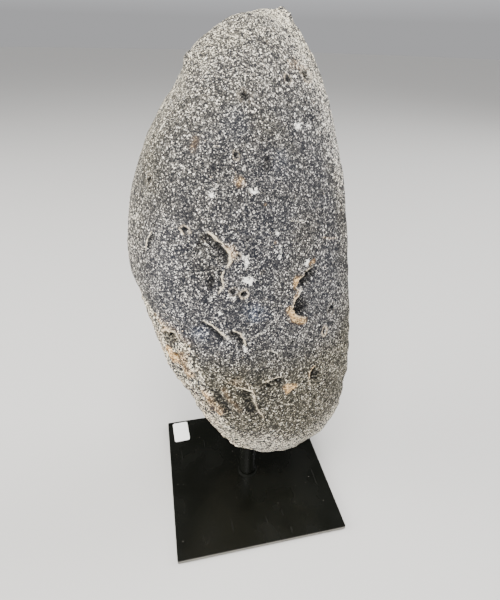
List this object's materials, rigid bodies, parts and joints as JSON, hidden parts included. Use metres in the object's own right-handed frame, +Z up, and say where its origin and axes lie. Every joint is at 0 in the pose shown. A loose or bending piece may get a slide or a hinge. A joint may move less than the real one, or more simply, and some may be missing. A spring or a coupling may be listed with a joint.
{
  "type": "agate geode on stand",
  "caption": "Tall dark speckled agate geode, sawn flat on one side, held upright on a pin and post that rise from a square black base plate with a blank label.",
  "frame": {"origin": "centre of the underside of the felt under the base plate, where the stand rests", "axes": "+Z up along the post, the object's longest extent; -Y towards the side where the rind shows; the plate's edges run along X and Y; the sawn face looks towards +X and +Y"},
  "size_m": [0.1368, 0.1466, 0.33],
  "materials": {
    "stone": "matt, granular rind speckled white on dark blue-grey, with tan stains; polished banded agate on the sawn face",
    "black_paint": "semi-gloss black paint on steel",
    "weld": "painted-over weld with small bright rubs",
    "felt": "thin black felt",
    "label_paper": "matt white paper, blank"
  },
  "bodies": {
    "root": {"geode": "stone", "post": "black_paint", "weld_bead": "weld", "base_plate": "black_paint", "felt_pad": "felt", "label": "label_paper"}
  },
  "joints": []
}
